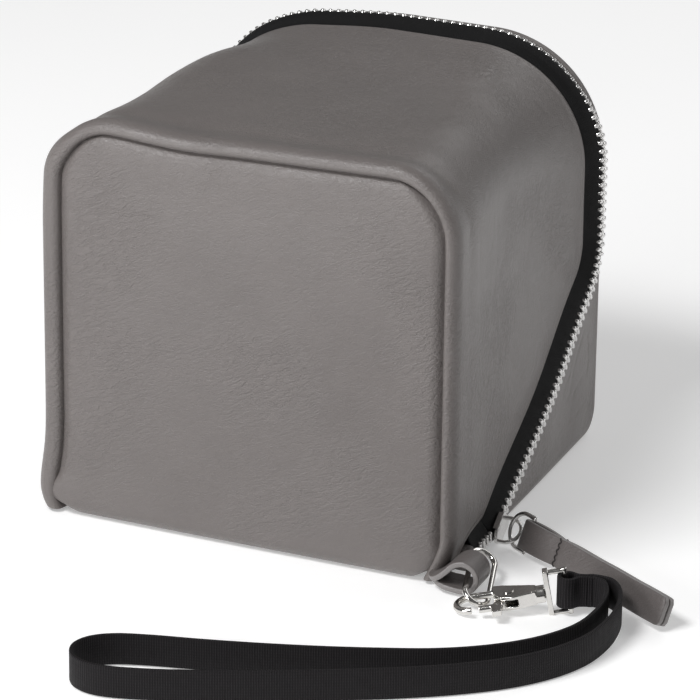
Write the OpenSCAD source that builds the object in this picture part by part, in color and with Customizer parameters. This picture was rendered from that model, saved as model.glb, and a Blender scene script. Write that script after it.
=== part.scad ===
// Boxy leather zip pouch with a clip-on wrist strap.
// The pouch is a soft leather box. A metal zip runs from the lower front of one side,
// diagonally up to the back, over the top and down the other side, so the whole front
// opens forward like a lid about the fold at the front bottom edge.
// Frame: origin on the floor under the middle of the pouch, +Z up, front towards -Y.

/* [Pouch] */
// outer width of the leather body, side to side
body_w = 130; // [100:1:180]
// outer depth, front panel to back panel
body_d = 133; // [100:1:180]
// outer height
body_h = 133; // [100:1:180]
// radius of the two long upper edges
edge_r = 22; // [12:1:32]
// radius of the lower back edge
back_r = 9; // [4:1:14]
// leather thickness
leather_t = 1.6; // [1:0.1:2.4]
// lining thickness
lining_t = 0.8; // [0.4:0.1:1.2]
// radius of the rolled seam around the front panel
roll_r = 2.4; // [1.5:0.1:3.5]
// radius of the fold along the front bottom edge, which the lid turns on
fold_r = 2; // [1.6:0.1:3]

/* [Zip] */
// distance along a row from one tooth to the next
pitch = 2.76; // [2:0.01:4]
// length of one tooth along the row
tooth_l = 1.2; // [0.8:0.1:1.3]
// thickness of the teeth
chain_t = 2.6; // [2:0.1:3.5]
// reach of a tooth from the middle of the chain to its outer end
tooth_out = 2.7; // [2.2:0.1:3.5]
// how far a closed tooth reaches over the middle of the chain
tooth_in = 0.6; // [0.4:0.1:0.7]
// height of the middle of the chain above the leather
chain_rise = 2.5; // [2:0.1:4]
// thickness of the woven tape
tape_t = 0.8; // [0.4:0.1:1]
// half of the gap between the two tapes
tape_gap = 0.8; // [0.4:0.1:1]
// width of front tape that shows beside the chain
tape_show = 8.5; // [6:0.5:14]
// distance from the middle of the chain to the rear leather
rear_show = 4.6; // [4.4:0.1:7]
// height of the lowest run of the zip, beside the front bottom corner
zip_low = 2.2; // [1.8:0.1:6]
// where the low run turns up into the diagonal, ahead of the middle of the pouch
zip_turn = 34; // [24:1:44]
// distance from the back panel to the upright run of the zip
zip_back = 9.5; // [7:0.5:20]
// height of the corner between the diagonal and the upright run
zip_corner = 61; // [45:1:80]
// radius of that corner
zip_r = 22; // [14:1:30]

/* [Slider and pull] */
// length of the slider
slider_l = 9.8; // [8:0.1:12]
// width of the slider
slider_w = 7.2; // [6.8:0.1:9]
// thickness of each slider plate
plate_t = 1.1; // [0.8:0.1:1.5]
// radius of the wire loop on the slider
bridge_r = 4.4; // [3.5:0.1:5]
// straight legs of the wire loop
bridge_leg = 1.6; // [1:0.1:3]
// wire radius of the loop and of the pull ring
wire_r = 0.7; // [0.5:0.05:0.8]
// straight legs of the pull ring
ring_leg = 3.7; // [2:0.1:5]
// width of the leather pull
pull_w = 9.2; // [8:0.1:10]
// length of the leather pull from the ring to its end
pull_l = 66; // [40:1:90]
// thickness of each ply of the pull and of the loop tab
ply_t = 1.9; // [1:0.1:2.4]

/* [Loop tab and wrist strap] */
// width of the leather loop tab
tab_w = 10.4; // [8:0.1:12]
// inner radius of the eye of the tab
tab_eye = 3.6; // [3:0.1:4.5]
// wire radius of the oval ring
oval_wire = 0.9; // [0.7:0.05:1]
// distance between the two sides of the oval ring, wire middle to wire middle
oval_gap = 7.9; // [7:0.1:9]
// straight length of the oval ring
oval_straight = 17; // [15:0.5:20]
// wire radius of the clasp hook
hook_r = 1.1; // [0.9:0.05:1.2]
// radius of the round ends of the hook eye, at the wire middle
eye_r = 4.6; // [4.2:0.1:5.5]
// straight length of the hook eye
eye_straight = 3.4; // [2:0.1:5]
// thickness of the clasp body
clasp_t = 4.4; // [3.6:0.1:5]
// radius of the clasp rivet
rivet_r = 1; // [0.8:0.05:1.3]
// radius of the swivel post
post_r = 1.3; // [1:0.05:1.6]
// width of the strap webbing, which stands on its edge
strap_w = 10; // [8:0.5:12]
// thickness of the strap webbing
strap_t = 1.3; // [0.8:0.1:1.8]

/* [Hidden] */
$fn = 48;
eps = 0.01;
far = 2 * (body_w + body_d + body_h);
leather = [0.46, 0.44, 0.43];
leather_light = [0.55, 0.53, 0.52];
lining_colour = [0.16, 0.15, 0.16];
black = [0.09, 0.08, 0.09];
webbing = [0.17, 0.15, 0.17];
silver = [0.78, 0.78, 0.79];

half_w = body_w / 2;
half_d = body_d / 2;
seat_gap = 0.2;
// the front panel meets the rolled seam this far in from the side
panel_edge = roll_r + sqrt(roll_r * roll_r - (roll_r - leather_t) * (roll_r - leather_t));
roll_low = 9.5;

// the path of the zip seen from the side: low run, diagonal, upright run
turn_y = -zip_turn;
zip_y = half_d - zip_back;
rise_a = atan((zip_corner - zip_low) / (zip_y - turn_y));
corner_cut = zip_r * tan((90 - rise_a) / 2);
diag_l = norm([zip_y - turn_y, zip_corner - zip_low]) - corner_cut;
upright_z = zip_corner + corner_cut;
chain_h = body_h + chain_rise;
// the end of the low run, beside the loop tab
zip_start = -half_d + 17.5;
end_tab_l = 3.5;

// radius of the chain's bend over a long upper edge, and its straight runs
bend_r = edge_r + chain_rise;
upright_l = body_h - edge_r - upright_z;
top_l = body_w - 2 * edge_r;
corner_l = zip_r * (90 - rise_a) * PI / 180;
bend_l = bend_r * PI / 2;

// the slider rests with its nose at the low end of the diagonal
slider_t = slider_l / 2;
side_l = diag_l + corner_l + upright_l + bend_l;
half_teeth = floor((side_l + top_l / 2 - slider_t) / pitch);
// the open teeth between the slider's nose and the end tab
open_teeth = floor((turn_y - zip_start - end_tab_l - 2) / pitch);
slider_x = half_w + chain_rise;
slider_y = turn_y + slider_t * cos(rise_a);
slider_z = zip_low + slider_t * sin(rise_a);
plate_gap = chain_t / 2 + seat_gap;
plate_top = plate_gap + plate_t;
lip_w = 0.6;
lip_slot = 0.3;

// the pull ring's bar, and the two directions that the leather pull lies along
ring_half = pull_w / 2 + wire_r + seat_gap;
ring_bar = [slider_x + 12.9, slider_y - 3.3, slider_z + 1.24];
pull_yaw = -31;
pull_lean = 67.6;
tack_x = 15;
fold_bore = 0.08;

// the loop tab at the front corner
tab_y = -half_d + 0.5;
tab_x = half_w + 8.2;
tab_z = 6.4;
tab_out = tab_eye + ply_t - 0.1;
tab_root = half_w - panel_edge + 0.3;

// the oval ring through the tab, as two directions and the middle of its upper side
oval_q = [-0.2506, 0.9423, 0.2218];
oval_p = [0.806, 0.329, -0.492];
oval_top = [tab_x + 0.3, tab_y - 0.2, tab_z + 0.5];

// the clasp: middle of its hook eye, and its direction
clasp_at = [half_w + 16, -half_d - 11.2, 2.8];
clasp_yaw = 22;
clasp_tilt = 10.4;
rivet_at = [9.6, 0.6];
collar_x = 17.8;
collar_l = 2.6;
collar_r = 2.7;
swivel_x = collar_x + collar_l + seat_gap;
swivel_bar_x = swivel_x + 6.6;
swivel_half = strap_w / 2 + 1.7;
swivel_wire = 0.8;
run_fit = 0.05;

// the strap's route, out from the swivel bar, round the loop and back
strap_points = [
    [111.7, -66.24, 7.7],
    [112.63, -65.87, 7.7],
    [113.55, -65.49, 7.7],
    [116.4, -66, 7.5],
    [118.8, -69.4, 7],
    [120, -74.4, 6.3],
    [120, -82, 5.6],
    [118.4, -91, 5.2],
    [114.4, -100, 5.2],
    [107.6, -109, 5.2],
    [98, -117.5, 5.2],
    [86, -125, 5.2],
    [71, -131.5, 5.2],
    [55, -137.5, 5.2],
    [38, -143, 5.2],
    [22, -147.5, 5.2],
    [8, -151, 5.2],
    [-2, -154.5, 5.2],
    [-8, -159.5, 5.2],
    [-9.6, -166, 5.2],
    [-6, -172, 5.2],
    [2, -174.5, 5.2],
    [14, -172, 5.2],
    [30, -166, 5.2],
    [47, -158.5, 5.2],
    [64, -150, 5.2],
    [80, -141.5, 5.2],
    [95, -132, 5.2],
    [108, -121.5, 5.2],
    [117.5, -110, 5.2],
    [123.2, -98, 5.2],
    [125.4, -86, 5.6],
    [125, -76, 6.4],
    [122.6, -68.6, 7.2],
    [118.4, -64.2, 7.6],
    [112.9, -63.92, 7.7],
    [111.98, -64.3, 7.7],
    [111.05, -64.67, 7.7],
];

// ---- outlines -------------------------------------------------------------

// front view of the pouch grown outward by g: rounded upper corners, open floor side
module front_outline(g = 0) {
    r = edge_r + g;
    translate([-half_w - g, -far])
        square([body_w + 2 * g, far + body_h - edge_r]);
    translate([-half_w + edge_r, -far])
        square([body_w - 2 * edge_r, far + body_h + g]);
    for (side = [-1, 1])
        translate([side * (half_w - edge_r), body_h - edge_r])
            circle(r, $fn = 96);
}

// a band of the sides and top, between two growths, standing on z = bottom
module front_band(low, high, bottom = 0) {
    difference() {
        front_outline(high);
        front_outline(low);
        translate([-far, bottom - far])
            square([2 * far, far]);
    }
}

// pushes a front-view shape along Y from y0 to y1
module along_y(y0, y1) {
    translate([0, y1, 0])
        rotate([90, 0, 0])
            linear_extrude(y1 - y0)
                children();
}

// side view of everything in front of a line at distance s ahead of the zip path
module ahead_of_zip(s) {
    turn = line_corner(s);
    top = [zip_y - s, zip_corner + s * (1 - sin(rise_a)) / cos(rise_a)];
    cut = (zip_r - s) * tan((90 - rise_a) / 2);
    polygon([
        [-far, turn[1]],
        turn,
        top - cut * [cos(rise_a), sin(rise_a)],
        top + [0, cut],
        [zip_y - s, far],
        [-far, far],
    ]);
    translate([zip_y - zip_r, upright_z])
        circle(zip_r - s, $fn = 96);
}

// the corner between the low run and the diagonal at distance s
function line_corner(s) = [turn_y - s * tan(rise_a / 2), zip_low + s];

// pushes a side-view shape right through the pouch along X
module along_x(x0 = -far / 2, x1 = far / 2) {
    multmatrix([[0, 0, 1, x0], [1, 0, 0, 0], [0, 1, 0, 0]])
        linear_extrude(x1 - x0)
            children();
}

// side view of a strip of the zip between distances s0 and s1, behind y = front
module zip_strip(s0, s1, front = -far) {
    difference() {
        ahead_of_zip(s0);
        ahead_of_zip(s1);
        translate([-far, -far])
            square([far + front, 2 * far]);
    }
}

// ---- places along the zip -------------------------------------------------

// puts children, made with x along the zip, y ahead of it and z outward,
// at distance d along the chain from the low end of the diagonal on one side
module on_zip(d, side) {
    mirror([side < 0 ? 1 : 0, 0, 0])
        if (d < 0)
            side_place(turn_y + d, zip_low, 0)
                children();
        else if (d < diag_l)
            side_place(turn_y + d * cos(rise_a), zip_low + d * sin(rise_a), rise_a)
                children();
        else if (d < diag_l + corner_l)
            corner_place(rise_a + (d - diag_l) / zip_r * 180 / PI)
                children();
        else if (d < diag_l + corner_l + upright_l)
            side_place(zip_y, upright_z + d - diag_l - corner_l, 90)
                children();
        else if (d < diag_l + corner_l + upright_l + bend_l)
            bend_place((d - diag_l - corner_l - upright_l) / bend_r * 180 / PI)
                children();
        else
            top_place(d - diag_l - corner_l - upright_l - bend_l)
                children();
}

module side_place(y, z, a) {
    translate([slider_x, y, z])
        multmatrix([[0, 0, 1, 0], [cos(a), -sin(a), 0, 0], [sin(a), cos(a), 0, 0]])
            children();
}

module corner_place(a) {
    side_place(zip_y - zip_r + zip_r * sin(a), upright_z - zip_r * cos(a), a)
        children();
}

module bend_place(a) {
    translate([half_w - edge_r, zip_y, body_h - edge_r])
        rotate([0, -a, 0])
            translate([bend_r, 0, 0])
                multmatrix([[0, 0, 1, 0], [0, -1, 0, 0], [1, 0, 0, 0]])
                    children();
}

module top_place(d) {
    translate([half_w - edge_r - d, zip_y, chain_h])
        multmatrix([[-1, 0, 0, 0], [0, -1, 0, 0], [0, 0, 1, 0]])
            children();
}

// ---- pieces of the zip ----------------------------------------------------

// one tooth with the slot that grips the tape
module tooth(reach_in) {
    difference() {
        translate([-tooth_l / 2, -reach_in, -chain_t / 2])
            cube([tooth_l, reach_in + tooth_out, chain_t]);
        translate([-tooth_l, tape_gap, -tape_t / 2])
            cube([2 * tooth_l, tooth_out, tape_t]);
    }
}

// closed teeth of one row, from the slider over the top and down to the other slider end
module closed_row(ahead, shift) {
    for (side = [-1, 1])
        for (i = [0 : half_teeth - 1])
            on_zip(slider_t + pitch / 4 + (i + shift * (side > 0 ? 1 : -1) / 4 + 0.25) * pitch, side)
                mirror([0, ahead ? 0 : 1, 0])
                    tooth(tooth_in);
}

module tape(s0, s1, front) {
    intersection() {
        along_y(-half_d, half_d)
            front_band(chain_rise - tape_t / 2, chain_rise + tape_t / 2);
        along_x()
            zip_strip(s0, s1, front);
    }
}

module front_zip_tape() {
    color(black) {
        tape(tape_gap, tape_show - tape_t, zip_start + end_tab_l);
        // the step down, and the hem under the leather edge
        intersection() {
            along_y(-half_d, half_d)
                front_band(-leather_t - tape_t, chain_rise + tape_t / 2);
            along_x()
                zip_strip(tape_show - tape_t, tape_show, zip_start + end_tab_l);
        }
        intersection() {
            along_y(-half_d, half_d)
                front_band(-leather_t - tape_t, -leather_t);
            along_x()
                zip_strip(tape_show, tape_show + 4, zip_start + end_tab_l);
        }
    }
}

module rear_zip_tape() {
    color(black) {
        tape(-rear_show + tape_t, -tape_gap, slider_y - slider_t);
        intersection() {
            along_y(-half_d, half_d)
                front_band(-leather_t - tape_t, chain_rise + tape_t / 2, leather_t);
            along_x()
                zip_strip(-rear_show, -rear_show + tape_t, slider_y - slider_t);
        }
        intersection() {
            along_y(-half_d, half_d - leather_t)
                front_band(-leather_t - tape_t, -leather_t, leather_t);
            along_x()
                zip_strip(-rear_show - 2, -rear_show, slider_y - slider_t);
        }
    }
}

module front_zip_teeth() {
    color(silver) {
        closed_row(true, 1);
        // open teeth past the nose of the slider
        for (side = [-1, 1])
            for (i = [0 : open_teeth - 1])
                on_zip(-2 - i * pitch, side)
                    tooth(-tape_gap + 0.2);
    }
}

module rear_zip_teeth() {
    color(silver)
        closed_row(false, -1);
}

// the small leather covers at the two ends of the zip
module zip_end_tabs() {
    color(leather)
        for (side = [-1, 1])
            mirror([side < 0 ? 1 : 0, 0, 0])
                translate([half_w - leather_t - lining_t, zip_start - end_tab_l, 0.4])
                    cube([leather_t + lining_t + chain_rise + 1, end_tab_l, 5.4]);
}

// ---- leather and lining ---------------------------------------------------

module front_panel() {
    color(leather) {
        intersection() {
            along_y(-half_d, -half_d + leather_t)
                front_outline(-panel_edge);
            translate([-far / 2, -half_d, fold_r])
                cube([far, leather_t, far]);
        }
        // the fold at the bottom, which the front turns about
        translate([-half_w + panel_edge, -half_d + fold_r, fold_r])
            rotate([0, 90, 0])
                cylinder(h = body_w - 2 * panel_edge, r = fold_r);
    }
}

// a rolled seam around the sides and top of the front panel
module seam_roll() {
    r_mid = edge_r - roll_r;
    y_mid = -half_d + roll_r;
    for (side = [-1, 1]) {
        translate([side * (half_w - roll_r), y_mid, roll_low])
            cylinder(h = body_h - edge_r - roll_low, r = roll_r);
        translate([side * (half_w - edge_r), y_mid, body_h - edge_r])
            rotate([90, side > 0 ? 0 : -90, 0])
                rotate_extrude(angle = 90)
                    translate([r_mid, 0])
                        circle(roll_r);
    }
    translate([-half_w + edge_r, y_mid, body_h - roll_r])
        rotate([0, 90, 0])
            cylinder(h = body_w - 2 * edge_r, r = roll_r);
}

module front_gusset() {
    color(leather) {
        seam_roll();
        intersection() {
            along_y(-half_d + roll_r, half_d)
                front_band(-leather_t, 0);
            along_x()
                ahead_of_zip(tape_show);
        }
    }
}

// the lining behind the front panel and inside its gusset
module front_lining() {
    in_face = leather_t + tape_t;
    low = 2 * fold_r + 2;
    behind_roll = -half_d + 2 * roll_r;
    color(lining_colour) {
        intersection() {
            along_y(behind_roll, zip_y)
                front_band(-in_face - lining_t, -in_face, low);
            along_x()
                ahead_of_zip(1.5);
        }
        intersection() {
            along_y(behind_roll, behind_roll + lining_t)
                front_outline(-in_face);
            translate([-far / 2, -half_d, low])
                cube([far, body_d, far]);
        }
        // padding that joins the lining to the panel
        intersection() {
            along_y(-half_d + leather_t, behind_roll)
                front_outline(-2 * roll_r - 1);
            translate([-far / 2, -half_d, low])
                cube([far, body_d, far]);
        }
    }
}

// the bottom and back: one strip of leather that bends up at the lower back edge
module bottom_back_panel() {
    fold_back = -half_d + 2 * fold_r + 0.3;
    side_cut = half_w - leather_t - lining_t;
    color(leather)
        intersection() {
            along_x()
                difference() {
                    back_profile(0);
                    back_profile(leather_t);
                    translate([-far, -far])
                        square([far + fold_back, 2 * far]);
                }
            along_y(-half_d, half_d)
                intersection() {
                    front_outline(0);
                    union() {
                        translate([-side_cut, 0])
                            square([2 * side_cut, leather_t]);
                        translate([-far / 2, leather_t])
                            square([far, far]);
                    }
                }
        }
}

// side view of the bottom and back, shrunk by t on those two sides
module back_profile(t) {
    r = back_r - t;
    translate([-far / 2, back_r])
        square([far / 2 + half_d - t, far]);
    translate([-far / 2, t])
        square([far / 2 + half_d - back_r, far]);
    translate([half_d - back_r, back_r])
        circle(r);
}

// the leather behind the zip: a wedge on each side and a narrow strip over the top
module rear_gusset() {
    color(leather)
        intersection() {
            along_y(-half_d, half_d - leather_t)
                front_band(-leather_t, 0, leather_t);
            along_x()
                difference() {
                    back_profile(leather_t);
                    ahead_of_zip(-rear_show);
                    translate([-far, -far])
                        square([far + turn_y, 2 * far]);
                }
        }
}

module rear_lining() {
    in_face = leather_t + tape_t;
    back_in = half_d - leather_t;
    color(lining_colour) {
        intersection() {
            along_y(-half_d, back_in)
                front_band(-in_face - lining_t, -in_face, leather_t);
            along_x()
                difference() {
                    back_profile(leather_t);
                    ahead_of_zip(0);
                    translate([-far, -far])
                        square([far + turn_y, 2 * far]);
                }
        }
        // floor and back
        intersection() {
            along_x()
                difference() {
                    back_profile(leather_t);
                    back_profile(leather_t + lining_t);
                    translate([-far, -far])
                        square([far - half_d + 2 * fold_r + 2, 2 * far]);
                }
            along_y(-half_d, half_d)
                front_outline(-in_face - lining_t);
        }
    }
}

// a folded leather strip with an eye for the oval ring
module loop_tab() {
    color(leather_light)
        along_y(tab_y - tab_w / 2, tab_y + tab_w / 2)
            difference() {
                union() {
                    translate([tab_x, tab_z])
                        circle(tab_out);
                    polygon([
                        [tab_root, leather_t],
                        [half_w, leather_t],
                        [tab_x + tab_out * sin(8), tab_z - tab_out * cos(8)],
                        [tab_x - tab_out * sin(20), tab_z + tab_out * cos(20)],
                        [half_w + 0.6, 2 * ply_t + leather_t],
                        [tab_root, 2 * ply_t + leather_t],
                    ]);
                }
                translate([tab_x, tab_z])
                    circle(tab_eye);
                // the space between the two plies, behind the eye
                polygon([
                    [half_w + 1.5, leather_t + ply_t - 0.1],
                    [tab_x - 2, tab_z - tab_eye + 0.9],
                    [tab_x - 2, tab_z + tab_eye - 0.9],
                    [half_w + 1.5, leather_t + ply_t + 0.1],
                ]);
            }
}

// ---- slider ---------------------------------------------------------------

module on_slider() {
    side_place(slider_y, slider_z, rise_a)
        children();
}

module slider_plate() {
    nose = 2.6;
    linear_extrude(plate_t)
        polygon([
            [-slider_l / 2, -slider_w / 2 + nose],
            [-slider_l / 2 + nose, -slider_w / 2],
            [slider_l / 2 - 1, -slider_w / 2],
            [slider_l / 2, -slider_w / 2 + 1],
            [slider_l / 2, slider_w / 2 - 1],
            [slider_l / 2 - 1, slider_w / 2],
            [-slider_l / 2 + nose, slider_w / 2],
            [-slider_l / 2, slider_w / 2 - nose],
        ]);
}

// outer plate with its side lips; rigid rows can't part round a divider, so there is none,
// and no inner plate, which only a divider could carry
module slider_body() {
    lip_l = slider_l - 3.6;
    color(silver)
        on_slider() {
            translate([0, 0, plate_gap])
                slider_plate();
            for (s = [-1, 1])
                translate([-slider_l / 2 + 2.6, s > 0 ? slider_w / 2 - lip_w : -slider_w / 2,
                    tape_t / 2 + lip_slot])
                    cube([lip_l, lip_w, plate_gap - tape_t / 2 - lip_slot]);
        }
}

module slider_bridge() {
    color(silver)
        on_slider() {
            for (side = [-1, 1])
                translate([side * bridge_r, 0, plate_top])
                    cylinder(h = bridge_leg, r = wire_r);
            translate([0, 0, plate_top + bridge_leg])
                rotate([90, 0, 0])
                    rotate_extrude(angle = 180)
                        translate([bridge_r, 0])
                            circle(wire_r);
        }
}

// puts children at the pull ring's bar: x along the pull, y along the bar
module on_pull() {
    translate(ring_bar)
        rotate([0, 0, pull_yaw])
            rotate([pull_lean, 0, 0])
                children();
}

module pull_ring() {
    color(silver)
        on_pull() {
            translate([0, ring_half, 0])
                rotate([90, 0, 0])
                    cylinder(h = 2 * ring_half, r = wire_r);
            for (side = [-1, 1]) {
                translate([-ring_leg, side * ring_half, 0])
                    rotate([0, 90, 0])
                        cylinder(h = ring_leg, r = wire_r);
                translate([0, side * ring_half, 0])
                    sphere(wire_r);
            }
            translate([-ring_leg, 0, 0])
                rotate([0, 0, 90])
                    rotate_extrude(angle = 180)
                        translate([ring_half, 0])
                            circle(wire_r);
        }
}

// a strip folded over the ring's bar, tacked together and left open at the end
module pull_strap() {
    fold_out = wire_r + fold_bore + ply_t;
    color(leather_light)
        on_pull()
            translate([0, pull_w / 2, 0])
                rotate([90, 0, 0])
                    linear_extrude(pull_w)
                        difference() {
                            union() {
                                circle(fold_out);
                                polygon([
                                    [0, -fold_out],
                                    [5, -fold_out],
                                    [tack_x, -ply_t],
                                    [pull_l, -ply_t],
                                    [pull_l, ply_t],
                                    [tack_x, ply_t],
                                    [5, fold_out],
                                    [0, fold_out],
                                ]);
                            }
                            circle(wire_r + fold_bore);
                            polygon([[0.4, -wire_r], [5, -1], [13, 0], [5, 1], [0.4, wire_r]]);
                            translate([tack_x + 2, -0.1])
                                square([pull_l, 0.2]);
                        }
}

// the row of thick stitches that closes the fold
module pull_tack() {
    stitch_n = 6;
    color(black)
        on_pull()
            for (i = [0 : stitch_n - 1])
                for (face = [-1, 1])
                    translate([tack_x + 0.3, (i - (stitch_n - 1) / 2) * pull_w / (stitch_n + 0.5),
                        face > 0 ? ply_t : -ply_t - 0.3])
                        rotate([0, 0, i % 2 == 0 ? 25 : -25])
                            translate([0, -0.6, 0])
                                cube([0.5, 1.2, 0.3]);
}

// ---- oval ring and clasp --------------------------------------------------

// x along the ring's long direction, y across it, from the middle of the ring
module on_oval() {
    n = cross(oval_q, oval_p);
    at = oval_top + oval_p * oval_gap / 2;
    multmatrix([
        [oval_q[0], oval_p[0], n[0], at[0]],
        [oval_q[1], oval_p[1], n[1], at[1]],
        [oval_q[2], oval_p[2], n[2], at[2]],
    ])
        children();
}

module oval_ring() {
    color(silver)
        on_oval()
            for (side = [-1, 1]) {
                translate([-oval_straight / 2, side * oval_gap / 2, 0])
                    rotate([0, 90, 0])
                        cylinder(h = oval_straight, r = oval_wire);
                translate([side * oval_straight / 2, 0, 0])
                    rotate([0, 0, side > 0 ? -90 : 90])
                        rotate_extrude(angle = 180)
                            translate([oval_gap / 2, 0])
                                circle(oval_wire);
            }
}

module on_clasp() {
    translate(clasp_at)
        rotate([0, 0, clasp_yaw])
            rotate([0, -clasp_tilt, 0])
                children();
}

module clasp_body() {
    slot_half = 1.05;
    color(silver)
        on_clasp() {
            // the hook
            translate([-eye_straight / 2, eye_r, 0])
                rotate([0, 90, 0])
                    cylinder(h = eye_straight + 4.2, r = hook_r);
            translate([-eye_straight / 2, 0, 0])
                rotate([0, 0, 90])
                    rotate_extrude(angle = 180)
                        translate([eye_r, 0])
                            circle(hook_r);
            // the body, with a slot for the gate
            difference() {
                translate([0, 0, -clasp_t / 2])
                    linear_extrude(clasp_t)
                        difference() {
                            polygon([
                                [4.8, eye_r + hook_r],
                                [7.5, eye_r + hook_r - 0.3],
                                [collar_x + eps, 2.4],
                                [collar_x + eps, -2.4],
                                [10.8, -4],
                                [7.2, -3.2],
                                [5.6, -0.6],
                                [5.2, 0],
                                [4.8, 0.6],
                            ]);
                            translate([eye_straight / 2, 0])
                                circle(eye_r - hook_r);
                        }
                translate([4, -5, -slot_half])
                    cube([8.4, 8, 2 * slot_half]);
                translate([rivet_at[0], rivet_at[1], -clasp_t])
                    cylinder(h = 2 * clasp_t, r = rivet_r);
            }
            // the collar that holds the swivel post
            difference() {
                translate([collar_x, 0, 0])
                    rotate([0, 90, 0])
                        cylinder(h = collar_l, r = collar_r);
                translate([collar_x + 0.4, 0, 0])
                    rotate([0, 90, 0])
                        cylinder(h = collar_l, r = post_r + run_fit);
            }
        }
}

module clasp_rivet() {
    head_t = 0.3;
    color(silver)
        on_clasp()
            translate([rivet_at[0], rivet_at[1], 0]) {
                translate([0, 0, -clasp_t / 2])
                    cylinder(h = clasp_t, r = rivet_r);
                for (face = [-1, 1])
                    translate([0, 0, face > 0 ? clasp_t / 2 : -clasp_t / 2 - head_t])
                        cylinder(h = head_t, r = rivet_r + 0.6);
            }
}

module clasp_gate() {
    gate_t = 1.9;
    color(silver)
        on_clasp()
            difference() {
                union() {
                    translate([rivet_at[0], rivet_at[1], -gate_t / 2])
                        cylinder(h = gate_t, r = rivet_r + 1);
                    translate([0, 0, -gate_t / 2])
                        linear_extrude(gate_t)
                            polygon([
                                [rivet_at[0] - 1.9, rivet_at[1] + 0.4],
                                [rivet_at[0] + 1.4, rivet_at[1] - 1.4],
                                [7.6, -eye_r - 0.9],
                                [7.2, -9],
                                [4.4, -9.2],
                                [4.2, -eye_r],
                            ]);
                    translate([0.4, -eye_r, 0])
                        rotate([0, 90, 0])
                            cylinder(h = 5.6, r = hook_r);
                }
                translate([rivet_at[0], rivet_at[1], -gate_t])
                    cylinder(h = 2 * gate_t, r = rivet_r + run_fit);
            }
}

module swivel_eye() {
    plate_x = 1.6;
    end_z = swivel_half + swivel_wire + 0.15;
    color(silver)
        on_clasp() {
            translate([collar_x + 0.7, 0, 0])
                rotate([0, 90, 0])
                    cylinder(h = collar_l + seat_gap - 0.6, r = post_r);
            translate([swivel_x, -1.6, -end_z])
                cube([plate_x, 3.2, 2 * end_z]);
            for (side = [-1, 1])
                translate([swivel_x + plate_x / 2, 0, side * swivel_half])
                    rotate([0, 90, 0])
                        cylinder(h = swivel_bar_x - swivel_x - plate_x / 2, r = swivel_wire);
            translate([swivel_bar_x, 0, -end_z])
                cylinder(h = 2 * end_z, r = swivel_wire);
        }
}

// ---- wrist strap ----------------------------------------------------------

// sideways direction of the route at point i
function route_side(p, i) =
    let (a = p[max(i - 1, 0)], b = p[min(i + 1, len(p) - 1)], d = [b[0] - a[0], b[1] - a[1], 0])
    [-d[1], d[0], 0] / norm(d);

// the four corners of the band at point i
function band_ring(p, i) =
    let (n = route_side(p, i) * strap_t / 2, up = [0, 0, strap_w / 2])
    [p[i] - n - up, p[i] + n - up, p[i] + n + up, p[i] - n + up];

// Catmull-Rom points between p[i] and p[i + 1]
function smooth_at(p, i, f) =
    let (a = p[max(i - 1, 0)], b = p[i], c = p[i + 1], d = p[min(i + 2, len(p) - 1)])
    0.5 * (2 * b + (c - a) * f + (2 * a - 5 * b + 4 * c - d) * f * f
        + (3 * b - a - 3 * c + d) * f * f * f);

function smooth(p) = [
    for (i = [0 : len(p) - 2])
        for (f = [0, 0.5])
            smooth_at(p, i, f),
    p[len(p) - 1],
];

module wrist_strap() {
    route = smooth(strap_points);
    n = len(route);
    color(webbing)
        polyhedron(
            points = [for (i = [0 : n - 1]) each band_ring(route, i)],
            faces = concat(
                [[0, 1, 2, 3]],
                [for (i = [0 : n - 2]) for (k = [0 : 3])
                    [4 * i + k, 4 * i + 4 + k, 4 * i + 4 + (k + 1) % 4, 4 * i + (k + 1) % 4]],
                [[4 * n - 1, 4 * n - 2, 4 * n - 3, 4 * n - 4]]
            )
        );
}

// the sewn end: webbing folded round the swivel bar, where both ends of the loop meet
module strap_tack() {
    inner = swivel_wire + swivel_half * sin(clasp_tilt);
    reach = swivel_bar_x * cos(clasp_tilt);
    bar_z = clasp_at[2] + swivel_bar_x * sin(clasp_tilt);
    color(webbing)
        translate([clasp_at[0], clasp_at[1], bar_z - strap_w / 2])
            rotate([0, 0, clasp_yaw])
                translate([reach, 0, 0])
                    linear_extrude(strap_w)
                        difference() {
                            union() {
                                circle(inner + strap_t);
                                translate([0, -strap_t - 0.2])
                                    square([6, 2 * strap_t + 0.4]);
                            }
                            circle(inner);
                        }
}

front_panel();
front_gusset();
front_lining();
front_zip_tape();
front_zip_teeth();
bottom_back_panel();
rear_gusset();
rear_lining();
rear_zip_tape();
rear_zip_teeth();
zip_end_tabs();
loop_tab();
slider_body();
slider_bridge();
pull_ring();
pull_strap();
pull_tack();
oval_ring();
clasp_body();
clasp_rivet();
clasp_gate();
swivel_eye();
wrist_strap();
strap_tack();
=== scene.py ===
import bpy
import bmesh
import math
import numpy as np
from mathutils import Matrix, Vector, noise


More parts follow.
